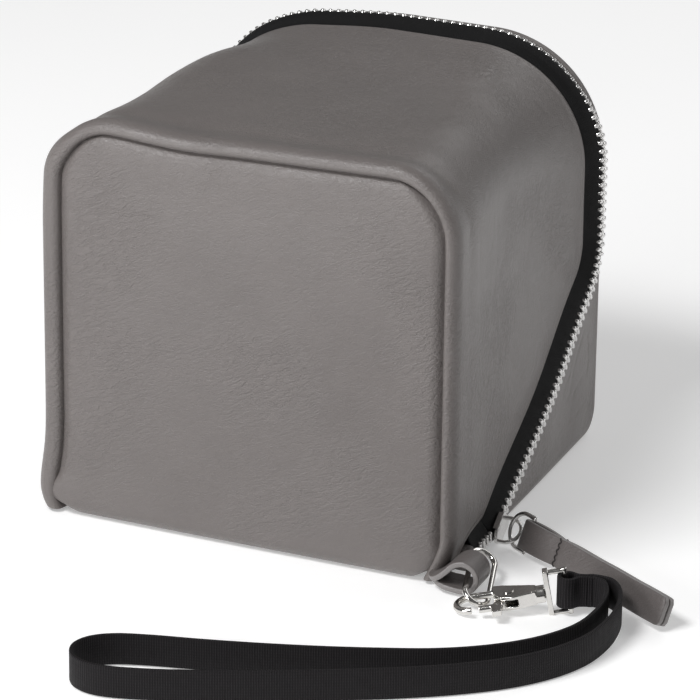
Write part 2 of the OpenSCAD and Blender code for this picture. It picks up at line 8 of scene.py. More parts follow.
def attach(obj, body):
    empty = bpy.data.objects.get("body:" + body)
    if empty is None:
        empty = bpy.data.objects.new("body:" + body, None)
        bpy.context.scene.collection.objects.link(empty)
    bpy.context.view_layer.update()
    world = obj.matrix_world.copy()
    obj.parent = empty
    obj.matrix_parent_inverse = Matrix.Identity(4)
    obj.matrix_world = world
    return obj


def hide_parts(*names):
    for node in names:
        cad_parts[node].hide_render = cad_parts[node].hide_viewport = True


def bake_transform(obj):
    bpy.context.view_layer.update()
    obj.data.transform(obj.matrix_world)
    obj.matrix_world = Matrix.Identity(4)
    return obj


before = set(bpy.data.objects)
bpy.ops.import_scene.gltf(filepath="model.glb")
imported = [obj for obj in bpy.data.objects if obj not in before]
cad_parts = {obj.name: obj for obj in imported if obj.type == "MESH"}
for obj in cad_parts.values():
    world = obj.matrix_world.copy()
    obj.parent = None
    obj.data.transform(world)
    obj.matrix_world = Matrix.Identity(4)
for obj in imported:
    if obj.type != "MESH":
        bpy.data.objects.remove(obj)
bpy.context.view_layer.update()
MM = 0.001


# ---- camera, at the photograph's angle -------------------------------------
def make_camera():
    az, el, roll, distance = math.radians(23.05), math.radians(22.57), math.radians(0.67), 1.44017
    target = Vector((0.0057, 0, 0.04213))
    back = Vector((math.sin(az) * math.cos(el), -math.cos(az) * math.cos(el), math.sin(el)))
    right = Vector((math.cos(az), math.sin(az), 0))
    up = right.cross(-back)
    right, up = math.cos(roll) * right + math.sin(roll) * up, math.cos(roll) * up - math.sin(roll) * right
    data = bpy.data.cameras.new("camera")
    data.sensor_width = 36
    data.lens = 6.524 * 36
    data.clip_start, data.clip_end = 0.1, 20
    camera = bpy.data.objects.new("camera", data)
    matrix = Matrix((right, up, back)).transposed().to_4x4()
    matrix.translation = target + back * distance
    camera.matrix_world = matrix
    bpy.context.scene.collection.objects.link(camera)
    bpy.context.scene.camera = camera


make_camera()


# ---- materials --------------------------------------------------------------
class Nodes:
    """A material being made, with short calls for its nodes."""

    def __init__(self, name, **constants):
        self.material = bpy.data.materials.new(name)
        self.material.use_nodes = True
        self.tree = self.material.node_tree
        self.shader = self.tree.nodes["Principled BSDF"]
        for socket, value in constants.items():
            self.shader.inputs[socket.replace("_", " ")].default_value = value

    def add(self, kind, links=(), **settings):
        node = self.tree.nodes.new("ShaderNode" + kind)
        for key, value in settings.items():
            setattr(node, key, value)
        for socket, value in dict(links).items():
            if isinstance(value, bpy.types.NodeSocket):
                self.tree.links.new(value, node.inputs[socket])
            else:
                node.inputs[socket].default_value = value
        return node

    def place(self, uv=False):
        node = self.add("TexCoord")
        return node.outputs["UV" if uv else "Object"]

    def noise(self, where, scale, detail=3.0, rough=0.5):
        links = {"Vector": where, "Scale": scale, "Detail": detail, "Roughness": rough}
        return self.add("TexNoise", links).outputs["Fac"]

    def mix(self, a, b, share):
        return self.maths("ADD", self.maths("MULTIPLY", a, share), self.maths("MULTIPLY", b, 1 - share))

    def ramp(self, value, low, high, stops):
        node = self.add("ValToRGB", {"Fac": value})
        node.color_ramp.elements[0].position = low
        node.color_ramp.elements[1].position = high
        node.color_ramp.elements[0].color = stops[0]
        node.color_ramp.elements[1].color = stops[1]
        return node.outputs["Color"]

    def maths(self, operation, a, b=0.5, clamp=False):
        return self.add("Math", {0: a, 1: b}, operation=operation, use_clamp=clamp).outputs[0]

    def span(self, value, low, high):
        return self.add("MapRange", {"Value": value, "To Min": low, "To Max": high}).outputs["Result"]

    def bump(self, height, strength, distance, normal=None):
        links = {"Height": height, "Strength": strength, "Distance": distance}
        if normal is not None:
            links["Normal"] = normal
        return self.add("Bump", links).outputs["Normal"]

    def to_shader(self, socket, value):
        self.tree.links.new(value, self.shader.inputs[socket])


def grey(value, warm=1.0):
    return (value * warm, value, value, 1)


def make_leather(name, colour, grain=1.0):
    """Smooth split leather: cells of grain about 0.7 mm across, fine creases, and uneven shine."""
    m = Nodes(name, Coat_Weight=0.04, Coat_Roughness=0.45, Sheen_Weight=0.03)
    where = m.place()
    cells = m.add("TexVoronoi", {"Vector": where, "Scale": 1500.0}, feature="DISTANCE_TO_EDGE").outputs["Distance"]
    pores = m.noise(where, 2600.0, 4.0, 0.6)
    turned = m.add("VectorRotate", {"Vector": where, "Axis": (0.3, 1.0, 0.2), "Angle": 0.5}).outputs[0]
    warped = m.add("VectorMath", {0: turned, 1: (0.75, 1.0, 1.35)}, operation="MULTIPLY").outputs[0]
    crease = m.noise(warped, 240.0, 5.0, 0.6)
    crease = m.maths("ABSOLUTE", m.maths("SUBTRACT", crease, 0.5))
    crease = m.ramp(crease, 0.0, 0.05, (grey(0.0), grey(1.0)))
    patch = m.noise(where, 28.0, 4.0, 0.55)
    fine = m.noise(where, 900.0, 2.0)
    tone = m.maths("ADD", m.maths("MULTIPLY", patch, 0.75), m.maths("MULTIPLY", fine, 0.25))
    low = tuple(c * 0.92 for c in colour) + (1,)
    high = tuple(c * 1.08 for c in colour) + (1,)
    m.to_shader("Base Color", m.ramp(tone, 0.3, 0.7, (low, high)))
    m.to_shader("Roughness", m.span(m.mix(patch, fine, 0.6), 0.27, 0.43))
    first = m.bump(m.ramp(cells, 0.0, 0.16, (grey(0.0), grey(1.0))), 0.3 * grain, 0.00012)
    second = m.bump(pores, 0.25 * grain, 0.00012, first)
    third = m.bump(crease, 0.3 * grain, 0.00016, second)
    # groups of stretch wrinkles, a few millimetres apart, that come and go
    slanted = m.add("VectorMath", {0: turned, 1: (0.5, 1.0, 1.5)}, operation="MULTIPLY").outputs[0]
    wrinkle = m.maths("ABSOLUTE", m.maths("SUBTRACT", m.noise(slanted, 330.0, 4.0, 0.62), 0.5))
    wrinkle = m.ramp(wrinkle, 0.0, 0.09, (grey(0.0), grey(1.0)))
    where_wrinkled = m.ramp(m.noise(where, 26.0, 2.0), 0.44, 0.62, (grey(0.0), grey(1.0)))
    wrinkle = m.maths("MULTIPLY", wrinkle, where_wrinkled)
    fourth = m.bump(wrinkle, 0.55 * grain, 0.0003, third)
    m.to_shader("Normal", m.bump(m.noise(where, 45.0, 2.0), 0.12, 0.0016, fourth))
    return m.material


def make_metal(name, colour, rough):
    """Nickel plate with fine polish lines, small pits and grime."""
    m = Nodes(name, Metallic=1.0)
    where = m.place()
    spots = m.noise(where, 700.0, 4.0)
    haze = m.noise(where, 160.0, 3.0)
    low = tuple(c * 0.86 for c in colour) + (1,)
    m.to_shader("Base Color", m.ramp(haze, 0.3, 0.65, (low, tuple(colour) + (1,))))
    m.to_shader("Roughness", m.span(m.mix(spots, haze, 0.5), rough * 0.55, rough * 1.5))
    lines = m.add("VectorMath", {0: where, 1: (1.0, 0.25, 1.0)}, operation="MULTIPLY").outputs[0]
    m.to_shader("Normal", m.bump(m.noise(lines, 3500.0, 2.0), 0.05, 0.00003, m.bump(spots, 0.06, 0.0001)))
    return m.material


def make_weave(name, colour, across, along, slant, strength, bright=1.0):
    """Woven black tape; UV is in millimetres, u along and v across. Herringbone when slant is set."""
    m = Nodes(name, Sheen_Weight=0.02, Sheen_Roughness=0.5, Specular_IOR_Level=0.22)
    where = m.place(uv=True)
    split = m.add("SeparateXYZ", {"Vector": where})
    u, v = split.outputs["X"], split.outputs["Y"]
    if slant:
        zig = m.maths("PINGPONG", v, slant)
        u = m.maths("ADD", u, zig)
    ribs = m.maths("SINE", m.maths("MULTIPLY", u, 2 * math.pi / along), 0)
    cross = m.maths("SINE", m.maths("MULTIPLY", v, 2 * math.pi / across), 0)
    height = m.span(m.maths("ADD", ribs, m.maths("MULTIPLY", m.maths("MULTIPLY", ribs, cross), 0.45)), 0.0, 1.0)
    fuzz = m.noise(where, 9.0, 4.0, 0.65)
    patch = m.noise(where, 0.35, 2.0)
    # the rib-height part of the colour is painted shade in the weave's valleys and painted light on its ribs; the fuzz
    # part is random tone
    weave_shade_and_fuzz = m.maths("ADD", m.maths("MULTIPLY", height, 0.6), m.maths("MULTIPLY", fuzz, 0.4))
    low = tuple(c * 0.45 for c in colour) + (1,)
    high = tuple(c * 1.7 * bright for c in colour) + (1,)
    m.to_shader("Base Color", m.ramp(weave_shade_and_fuzz, 0.25, 0.8, (low, high)))
    m.to_shader("Roughness", m.span(m.mix(fuzz, patch, 0.5), 0.5, 0.85))
    m.to_shader("Normal", m.bump(fuzz, 0.35, 0.0001, m.bump(height, strength, 0.00022)))
    return m.material


def make_lining(name):
    """Plain dark lining cloth with a 0.4 mm weave in object space; its colour has painted shade between the threads."""
    m = Nodes(name, Sheen_Weight=0.15, Roughness=0.8)
    where = m.place()
    threads = {"Vector": where, "Scale": 400.0, "Distortion": 1.0, "Detail": 2.0}
    height = m.add("TexWave", threads).outputs["Fac"]
    other = m.add("TexWave", threads, bands_direction="Z").outputs["Fac"]
    both = m.maths("ADD", m.maths("MULTIPLY", height, 0.5), m.maths("MULTIPLY", other, 0.5))
    # colour from the thread waves: painted shade where the threads dip, lighter on their tops
    m.to_shader("Base Color", m.ramp(both, 0.2, 0.8, ((0.012, 0.011, 0.013, 1), (0.035, 0.032, 0.036, 1))))
    m.to_shader("Normal", m.bump(both, 0.4, 0.0001, m.bump(m.noise(where, 120.0), 0.3, 0.0008)))
    return m.material


LEATHER = make_leather("leather", (0.141, 0.126, 0.121))
PULL_LEATHER = make_leather("pull_leather", (0.112, 0.1, 0.097), 0.8)
EDGE_PAINT = make_leather("edge_paint", (0.2, 0.187, 0.184), 0.4)
ZIP_METAL = make_metal("zip_metal", (0.74, 0.73, 0.72), 0.24)
CLASP_METAL = make_metal("clasp_metal", (0.70, 0.685, 0.66), 0.13)
ZIP_TAPE = make_weave("zip_tape", (0.0036, 0.0034, 0.0037), 0.5, 0.62, 1.55, 0.6)
WEBBING = make_weave("webbing", (0.0105, 0.0088, 0.0102), 0.9, 0.74, 0, 0.8)
THREAD = make_weave("thread", (0.05, 0.045, 0.045), 0.6, 0.5, 0.3, 0.5)
LINING = make_lining("lining")


# ---- mesh helpers, in millimetres -------------------------------------------
def smooth(t):
    t = np.clip(t, 0, 1)
    return t * t * (3 - 2 * t)


def unit(v):
    return v / np.maximum(np.linalg.norm(v, axis=-1, keepdims=True), 1e-9)


def add_mesh(name, verts, faces, material, uv=None, shade=True, tidy=True):
    mesh = bpy.data.meshes.new(name)
    mesh.from_pydata((np.asarray(verts, float) * MM).tolist(), [], faces)
    if uv is not None:
        layer = mesh.uv_layers.new(name="UVMap")
        index = np.zeros(len(mesh.loops), int)
        mesh.loops.foreach_get("vertex_index", index)
        layer.data.foreach_set("uv", np.asarray(uv, float)[index].ravel())
    if tidy:
        b = bmesh.new()
        b.from_mesh(mesh)
        bmesh.ops.remove_doubles(b, verts=b.verts, dist=1e-7)
        bmesh.ops.recalc_face_normals(b, faces=b.faces)
        b.to_mesh(mesh)
        b.free()
    if shade:
        mesh.polygons.foreach_set("use_smooth", [True] * len(mesh.polygons))
    mesh.materials.append(material)
    obj = bpy.data.objects.new(name, mesh)
    bpy.context.scene.collection.objects.link(obj)
    return obj


def grid_faces(nu, nv, loop_u=False, loop_v=False, offset=0):
    faces = []
    for i in range(nu if loop_u else nu - 1):
        j = (i + 1) % nu
        for k in range(nv if loop_v else nv - 1):
            n = (k + 1) % nv
            faces.append((offset + i * nv + k, offset + j * nv + k, offset + j * nv + n, offset + i * nv + n))
    return faces


def slab(name, outer, inner, material, uv=None):
    """A closed sheet between two grids of points of the same size."""
    nu, nv = outer.shape[:2]
    count = nu * nv
    faces = grid_faces(nu, nv) + grid_faces(nu, nv, offset=count)
    ring = [i * nv for i in range(nu)] + [(nu - 1) * nv + k for k in range(1, nv)]
    ring += [i * nv + nv - 1 for i in range(nu - 2, -1, -1)] + list(range(nv - 2, 0, -1))
    for a, b in zip(ring, ring[1:] + ring[:1]):
        faces.append((a, b, b + count, a + count))
    verts = np.concatenate([outer.reshape(-1, 3), inner.reshape(-1, 3)])
    if uv is not None:
        uv = np.concatenate([uv.reshape(-1, 2)] * 2)
    return add_mesh(name, verts, faces, material, uv)


def shell(name, points, material, uv=None):
    return add_mesh(name, points.reshape(-1, 3), grid_faces(*points.shape[:2]), material,
                    None if uv is None else uv.reshape(-1, 2))


def resample(points, step=None, count=None):
    points = np.asarray(points, float)
    d = np.concatenate([[0], np.cumsum(np.linalg.norm(np.diff(points, axis=0), axis=1))])
    count = count or max(2, int(round(d[-1] / step)) + 1)
    t = np.linspace(0, d[-1], count)
    return np.stack([np.interp(t, d, points[:, k]) for k in range(points.shape[1])], 1)


# ---- bands: strips of leather or webbing swept along a path -------------------------
def catmull(points, steps):
    p = np.asarray(points, float)
    out = []
    for i in range(len(p) - 1):
        a, b, c, d = p[max(i - 1, 0)], p[i], p[i + 1], p[min(i + 2, len(p) - 1)]
        for f in np.linspace(0, 1, steps, endpoint=False):
            bend = (2 * a - 5 * b + 4 * c - d) * f * f + (3 * b - a - 3 * c + d) * f ** 3
            out.append(0.5 * (2 * b + (c - a) * f + bend))
    out.append(p[-1])
    return np.array(out)


def rounded_section(width, thick, radius, per_corner=4):
    points = []
    for cx, cy, a0 in ((1, 1, 0), (-1, 1, 90), (-1, -1, 180), (1, -1, 270)):
        for a in np.linspace(a0, a0 + 90, per_corner):
            a = math.radians(a)
            middle = np.array([cx * (width / 2 - radius), cy * (thick / 2 - radius)])
            points.append(middle + radius * np.array([math.cos(a), math.sin(a)]))
    return np.array(points)


def band(name, path, across, width, thick, radius, material,
         edge_material=None, end_round=0.0, thin=None, wide=None, per_corner=4):
    """Sweeps a rounded strip along path; across is the direction of its width at each point."""
    path = np.asarray(path, float)
    across = unit(np.broadcast_to(across, path.shape).astype(float))
    tangent = unit(np.gradient(path, axis=0))
    across = unit(across - tangent * np.sum(across * tangent, 1, keepdims=True))
    normal = np.cross(tangent, across)
    d = np.concatenate([[0], np.cumsum(np.linalg.norm(np.diff(path, axis=0), axis=1))])
    section = rounded_section(width, thick, radius, per_corner)
    count = len(section)
    thin = np.ones(len(path)) if thin is None else thin
    wide = np.ones(len(path)) if wide is None else wide
    if end_round:
        for k in range(len(path)):
            near = min(d[k], d[-1] - d[k])
            if near < end_round:
                cut = end_round - math.sqrt(max(end_round ** 2 - (end_round - near) ** 2, 0))
                wide[k] *= (width / 2 - cut) / (width / 2)
                thin[k] *= 1 - 0.25 * (1 - near / end_round) ** 2
    verts, uv = [], []
    perimeter = np.concatenate([[0], np.cumsum(np.linalg.norm(np.diff(section, axis=0), axis=1))])
    for k in range(len(path)):
        verts.append(path[k] + across[k] * section[:, :1] * wide[k] + normal[k] * section[:, 1:] * thin[k])
        uv.append(np.stack([np.full(count, d[k]), perimeter], -1))
    faces = grid_faces(len(path), count, loop_v=True)
    total = len(path) * count
    verts = np.concatenate(verts)
    verts = np.concatenate([verts, [verts[:count].mean(0), verts[-count:].mean(0)]])
    uv = np.concatenate(uv + [np.array([[0, 0], [d[-1], 0]])])
    side_start = len(faces)
    for k in range(count):
        n = (k + 1) % count
        faces.append((total, n, k))
        faces.append((total + 1, total - count + k, total - count + n))
    obj = add_mesh(name, verts, faces, material, uv)
    if edge_material is not None:
        obj.data.materials.append(edge_material)
        side = np.zeros(len(obj.data.polygons), int)
        for f, poly in enumerate(obj.data.polygons):
            if f >= side_start:
                side[f] = 1
            else:
                k = f % count
                side[f] = 1 if k in (per_corner * 2 - 1, per_corner * 4 - 1, 0, 1, per_corner * 4 - 2, per_corner * 2 - 2,
                                     per_corner * 2, per_corner * 2 - 3, per_corner * 2 + 1, 2) and abs(
                    section[k][0] + section[(k + 1) % count][0]) > width - radius * 1.1 else 0
        obj.data.polygons.foreach_set("material_index", side.tolist())
    return obj


def tube(name, path, radius, material, sides=10, loop=False):
    path = np.asarray(path, float)
    tangent = unit(np.gradient(path, axis=0))
    ref = np.cross(tangent[0], [0.31, 0.2, 0.93])
    verts = []
    radius = np.broadcast_to(radius, (len(path),))
    for k in range(len(path)):
        ref = unit(ref - tangent[k] * (ref @ tangent[k]))
        other = np.cross(tangent[k], ref)
        for a in np.linspace(0, 2 * math.pi, sides, endpoint=False):
            verts.append(path[k] + radius[k] * (math.cos(a) * ref + math.sin(a) * other))
    faces = grid_faces(len(path), sides, loop_v=True)
    total = len(verts)
    verts += [path[0], path[-1]]
    for k in range(sides):
        n = (k + 1) % sides
        faces.append((total, n, k))
        faces.append((total + 1, total - sides + k, total - sides + n))
    return add_mesh(name, verts, faces, material)


def bake(obj):
    graph = bpy.context.evaluated_depsgraph_get()
    mesh = bpy.data.meshes.new_from_object(obj.evaluated_get(graph))
    obj.modifiers.clear()
    obj.data = mesh
    mesh.polygons.foreach_set("use_smooth", [True] * len(mesh.polygons))
    return obj


# ---- metal parts: the CAD's own shapes, with the sharp edges rolled as on cast nickel -------
for node in ("slider_bridge", "pull_ring"):
    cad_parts[node].data.materials.clear()
    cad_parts[node].data.materials.append(ZIP_METAL)
for node in ("oval_ring", "clasp_rivet"):
    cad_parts[node].data.materials.clear()
    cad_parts[node].data.materials.append(CLASP_METAL)


def cast(node, name, voxel, rounds, material, body):
    """A copy of a CAD part with its edges softened like a casting's."""
    obj = bpy.data.objects.new(name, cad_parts[node].data.copy())
    bpy.context.scene.collection.objects.link(obj)
    remesh = obj.modifiers.new("remesh", "REMESH")
    remesh.mode = "VOXEL"
    remesh.voxel_size = voxel * MM
    relax = obj.modifiers.new("relax", "SMOOTH")
    relax.factor = 0.5
    relax.iterations = rounds
    bake(obj)
    obj.data.materials.clear()
    obj.data.materials.append(material)
    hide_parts(node)
    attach(obj, body)
    return obj


cast("clasp_body", "clasp_casting", 0.16, 5, CLASP_METAL, "clasp")
cast("clasp_gate", "clasp_gate_lever", 0.14, 4, CLASP_METAL, "gate")
cast("swivel_eye", "swivel_casting", 0.14, 4, CLASP_METAL, "swivel")
cast("slider_body", "slider_casting", 0.12, 3, ZIP_METAL, "slider")


# ---- wrist strap ----------------------------------------------------------------------------
STRAP = [[111.7, -66.24, 7.7], [112.63, -65.87, 7.7], [113.55, -65.49, 7.7], [116.4, -66, 7.5], [118.8, -69.4, 7],
         [120, -74.4, 6.3], [120, -82, 5.6], [118.4, -91, 5.2], [114.4, -100, 5.2], [107.6, -109, 5.2],
         [98, -117.5, 5.2], [86, -125, 5.2], [71, -131.5, 5.2], [55, -137.5, 5.2], [38, -143, 5.2], [22, -147.5, 5.2],
         [8, -151, 5.2], [-2, -154.5, 5.2], [-8, -159.5, 5.2], [-9.6, -166, 5.2], [-6, -172, 5.2], [2, -174.5, 5.2],
         [14, -172, 5.2], [30, -166, 5.2], [47, -158.5, 5.2], [64, -150, 5.2], [80, -141.5, 5.2], [95, -132, 5.2],
         [108, -121.5, 5.2], [117.5, -110, 5.2], [123.2, -98, 5.2], [125.4, -86, 5.6], [125, -76, 6.4],
         [122.6, -68.6, 7.2], [118.4, -64.2, 7.6], [112.9, -63.92, 7.7], [111.98, -64.3, 7.7], [111.05, -64.67, 7.7]]
strap_path = resample(catmull(STRAP, 8), 0.36)
strap = band("wrist_webbing", strap_path, (0, 0, 1), 9.9, 1.25, 0.4, WEBBING, per_corner=3)
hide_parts("wrist_strap")
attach(strap, "strap")


def strap_end():
    """The webbing folded round the swivel's bar and sewn down."""
    yaw = math.radians(22)
    bar = np.array([105.805, -67.678, 7.71])
    inner = 2.01
    mid = inner + 0.66
    flat = [(6.0, 0.72), (4.4, 0.74), (3.2, 0.98), (2.2, 1.55)]
    flat += [(mid * math.cos(a), mid * math.sin(a)) for a in np.radians(np.linspace(58, 302, 13))]
    flat += [(2.2, -1.55), (3.2, -0.98), (4.4, -0.74), (6.0, -0.72)]
    flat = resample(catmull(flat, 6), 0.36)
    x = bar[0] + flat[:, 0] * math.cos(yaw) - flat[:, 1] * math.sin(yaw)
    y = bar[1] + flat[:, 0] * math.sin(yaw) + flat[:, 1] * math.cos(yaw)
    path = np.stack([x, y, np.full(len(x), bar[2])], -1)
    return band("strap_sewn_end", path, (0, 0, 1), 9.9, 1.2, 0.38, WEBBING, per_corner=3)


sewn = strap_end()
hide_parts("strap_tack")
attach(sewn, "strap")


# ---- the soft box: a skin that every leather, tape and tooth follows ---------
HALF_W, HALF_D, HEIGHT, EDGE_R = 65.0, 66.5, 133.0, 22.0
SIDE_L = HEIGHT - EDGE_R
QUARTER = SIDE_L + EDGE_R * math.pi / 2 + HALF_W - EDGE_R
HOLD = 55.0


def bell(x, middle, width):
    return np.exp(-(((x - middle) / width) ** 2))


def sag(p):
    """Moves nominal points to where the soft leather hangs, bulges and sinks."""
    x, y, z = p[..., 0].copy(), p[..., 1].copy(), p[..., 2].copy()
    high = smooth((z - 70) / 55)
    right, left = smooth(x / 62), smooth(-x / 62)
    low_ramp = smooth((z - 3) / 12)
    out_r = 3.3 * bell(y, -64, 26) * low_ramp * (1 - 0.3 * smooth((z - 105) / 25))
    out_r = out_r + 1.6 * bell(y, 4, 34) * bell(z, 36, 26) - 1.2 * bell(y, 14, 26) * bell(z, 90, 30)
    out_l = (1.3 + 3.2 * bell(z, 4, 14)) * bell(y, -66, 30)
    wide = smooth((-x - 57) / 8) * bell(y, -54, 48) * (3.5 - 1.2 * smooth((z - 95) / 35))
    dx = out_r * right - out_l * left - wide * (1 - 0.35 * bell(z, 2, 9))
    dz = -1.5 * bell(x, 2, 40) * bell(y, -66, 34) - 3.6 * bell(x, -58, 20) * bell(y, -22, 28)
    dz = dz - 3.4 * smooth(-x / 46) * smooth(y / 46) - 2.2 * bell(x, 40, 26) * bell(y, 2, 34)
    dz = dz - 1.2 * bell(x, -10, 40) * bell(y, 5, 30) - 1.4 * bell(x, -24, 18) * bell(y, -66, 34)
    front = smooth((-y - 40) / 26)
    # the two lower front corners are round
    under = 3.6 * (1 - np.sqrt(np.clip(1 - np.clip(1 - z / 9, 0, 1) ** 2, 0, 1))) * smooth((-y - 50) / 10)
    dx = dx - np.sign(x) * under * smooth((np.abs(x) - 52) / 8)
    dy = -(1.5 * (1 - np.clip(np.abs(x) / 66, 0, 1) ** 2) * np.clip(1 - ((z - 60) / 74) ** 2, 0, 1)) * front
    dy = dy + 1.3 * smooth((z - 96) / 30) * smooth((-y - 58) / 7) * (1 - np.clip(np.abs(x) / 60, 0, 1) ** 4)
    back = smooth((y - 30) / 34)
    dy = dy + 1.6 * (1 - np.clip(np.abs(x) / 66, 0, 1) ** 2) * np.clip(1 - ((z - 56) / 76) ** 2, 0, 1) * back
    return np.stack([x + dx, y + dy, z + dz * high], -1)


def corner_radius(y):
    return 21.5 + 16 * smooth((y + 25) / 82)


def nominal(s, y, n):
    """The box's section: s runs up the right side, over the top and down the left, n is outward."""
    s, y, n = np.broadcast_arrays(np.asarray(s, float), np.asarray(y, float), np.asarray(n, float))
    left = s > QUARTER
    s = np.where(left, 2 * QUARTER - s, s)
    r = corner_radius(y)
    quarter = (HEIGHT - r) + r * math.pi / 2 + (HALF_W - r)
    t = np.where(s > HOLD, HOLD + (s - HOLD) * (quarter - HOLD) / (QUARTER - HOLD), s)
    side, arc = HEIGHT - r, r * math.pi / 2
    a = np.clip((t - side) / r, 0, math.pi / 2)
    x = HALF_W - r + (r + n) * np.cos(a) - np.maximum(t - side - arc, 0)
    z = np.minimum(t, side) + (r + n) * np.sin(a)
    return np.stack([np.where(left, -x, x), y, z], -1)


def skin(s, y, n):
    return sag(nominal(s, y, n))


def creases(p, amount):
    """Soft folds and crease lines of the leather, as heights in millimetres."""
    flat = p.reshape(-1, 3)
    out = np.empty(len(flat))
    for i, (x, y, z) in enumerate(flat):
        wide = noise.noise(Vector((x * 0.016 + 3.1, y * 0.016, z * 0.016 + 7.7)))
        fold = noise.noise(Vector((x * 0.05 + wide, y * 0.05 - 2.0, z * 0.028 + 5.0)))
        line = noise.noise(Vector((x * 0.11 + 1.3 * fold + 9.0, y * 0.11, z * 0.075 + 2.0 * wide)))
        sharp = max(0.0, 1 - abs(line) * 9)
        out[i] = 0.9 * wide + 0.45 * fold - 0.16 * sharp * sharp
    return out.reshape(p.shape[:-1]) * amount


# the zip's path in (s, y): low run, diagonal, corner, upright, then over the top
ZIP_Y, ZIP_LOW, TURN_Y, CORNER_Z, ZIP_R = 57.0, 2.2, -34.0, 61.0, 22.0
RISE = math.atan((CORNER_Z - ZIP_LOW) / (ZIP_Y - TURN_Y))
CUT = ZIP_R * math.tan((math.pi / 2 - RISE) / 2)
UPRIGHT_Z = CORNER_Z + CUT
ZIP_START = -HALF_D + 17.5
CHAIN = 2.5
# half the slider's length, where the closed teeth begin, and the step from tooth to tooth
SLIDER_END, PITCH = 4.9, 2.76


def zip_line(e, start_y=None):
    """Half of the line at distance e ahead of the zip path, as (s, y), from the low front to the top middle."""
    points = []
    corner = np.array([ZIP_LOW + e, TURN_Y - e * math.tan(RISE / 2)])
    if start_y is not None:
        points.append([ZIP_LOW + e, start_y])
    points.append(corner)
    for a in np.linspace(RISE, math.pi / 2, 24):
        points.append([UPRIGHT_Z - (ZIP_R - e) * math.cos(a), ZIP_Y - ZIP_R + (ZIP_R - e) * math.sin(a)])
    points.append([QUARTER, ZIP_Y - e])
    return np.array(points)


def normals_2d(line):
    t = np.gradient(line, axis=0)
    t = unit(t)
    return np.stack([t[:, 1], -t[:, 0]], -1)


def both_sides(line, away):
    """Joins a half line and its outward directions with their mirror image about the top middle."""
    mirror = line[-2::-1].copy()
    mirror[:, 0] = 2 * QUARTER - mirror[:, 0]
    flip = away[-2::-1].copy()
    flip[:, 0] *= -1
    return np.concatenate([line, mirror]), np.concatenate([away, flip])


# ---- front gusset: rolled seam, side and top, edge along the zip --------------
def front_gusset():
    show = 8.3
    edge = zip_line(show)
    start = [[1.2, -53.0], [6.0, -53.0]]
    start += [[6 + 4.5 * math.sin(a), -48.5 - 4.5 * math.cos(a)] for a in np.linspace(0.2, math.pi / 2, 6)]
    edge = resample(np.concatenate([start, edge]), 1.25)
    away = -normals_2d(edge)
    d = np.concatenate([[0], np.cumsum(np.linalg.norm(np.diff(edge, axis=0), axis=1))])
    turn = d[np.argmin(np.abs(edge[:, 1] + 37) + 10 * (edge[:, 0] > 12))]
    up = d[np.argmin(np.abs(edge[:, 0] - UPRIGHT_Z))]
    seam_s = np.interp(d, [0, 5, turn, up, d[-1]], [1.2, 6, 13, UPRIGHT_Z, QUARTER])
    edge, away = both_sides(edge, away)
    seam_s = np.concatenate([seam_s, (2 * QUARTER - seam_s)[-2::-1]])
    rows_s, rows_y, rows_n = [], [], []

    def row(s, y, n):
        rows_s.append(np.broadcast_to(s, seam_s.shape))
        rows_y.append(np.broadcast_to(y, seam_s.shape))
        rows_n.append(np.broadcast_to(n, seam_s.shape))

    row(seam_s, -61.5, -5.2)
    row(seam_s, -63.6, -5.0)
    for a in np.linspace(-80, -10, 6):
        a = math.radians(a)
        row(seam_s, -64.7 - 2.0 * math.cos(a), -3.1 + 1.6 * math.sin(a))
    for a in np.linspace(0, 82, 9):
        a = math.radians(a)
        row(seam_s, -61.9 - 4.8 * math.cos(a), -3.1 + 3.1 * math.sin(a))
    body = 76
    for k in range(1, body + 1):
        t = k / body
        at = np.stack([seam_s, np.full_like(seam_s, -61.2)], -1) * (1 - t) + (edge - away * 2.2) * t
        # the leather sinks a little behind the rolled seam, most along the upper edge
        upper = smooth((seam_s - 80) / 40) * smooth((2 * QUARTER - seam_s - 80) / 40)
        dip = -(0.25 + 0.55 * upper) * bell(at[:, 1], -55, 4.0)
        row(at[:, 0], at[:, 1], dip)
    for out, n in ((-1.5, 0.12), (-0.8, 0.2), (-0.25, 0.02), (0, -0.45), (0, -1.1), (-0.3, -1.75), (-2.2, -1.9)):
        at = edge + away * out
        row(at[:, 0], at[:, 1], n)
    s, y, n = np.stack(rows_s, 1), np.stack(rows_y, 1), np.stack(rows_n, 1)
    base = nominal(s, y, 0)
    fade = smooth((y + 63) / 12) * smooth((s - 6) / 22) * smooth((2 * QUARTER - s - 6) / 22)
    edge_fade = np.ones(s.shape[1])
    edge_fade[-18:] = np.linspace(1, 0, 18)
    edge_fade[-7:] = 0
    n = n + creases(base, 1.0) * fade * edge_fade[None, :]
    return shell("gusset_front_leather", skin(s, y, n), LEATHER)


gusset = front_gusset()
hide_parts("front_gusset")
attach(gusset, "lid")


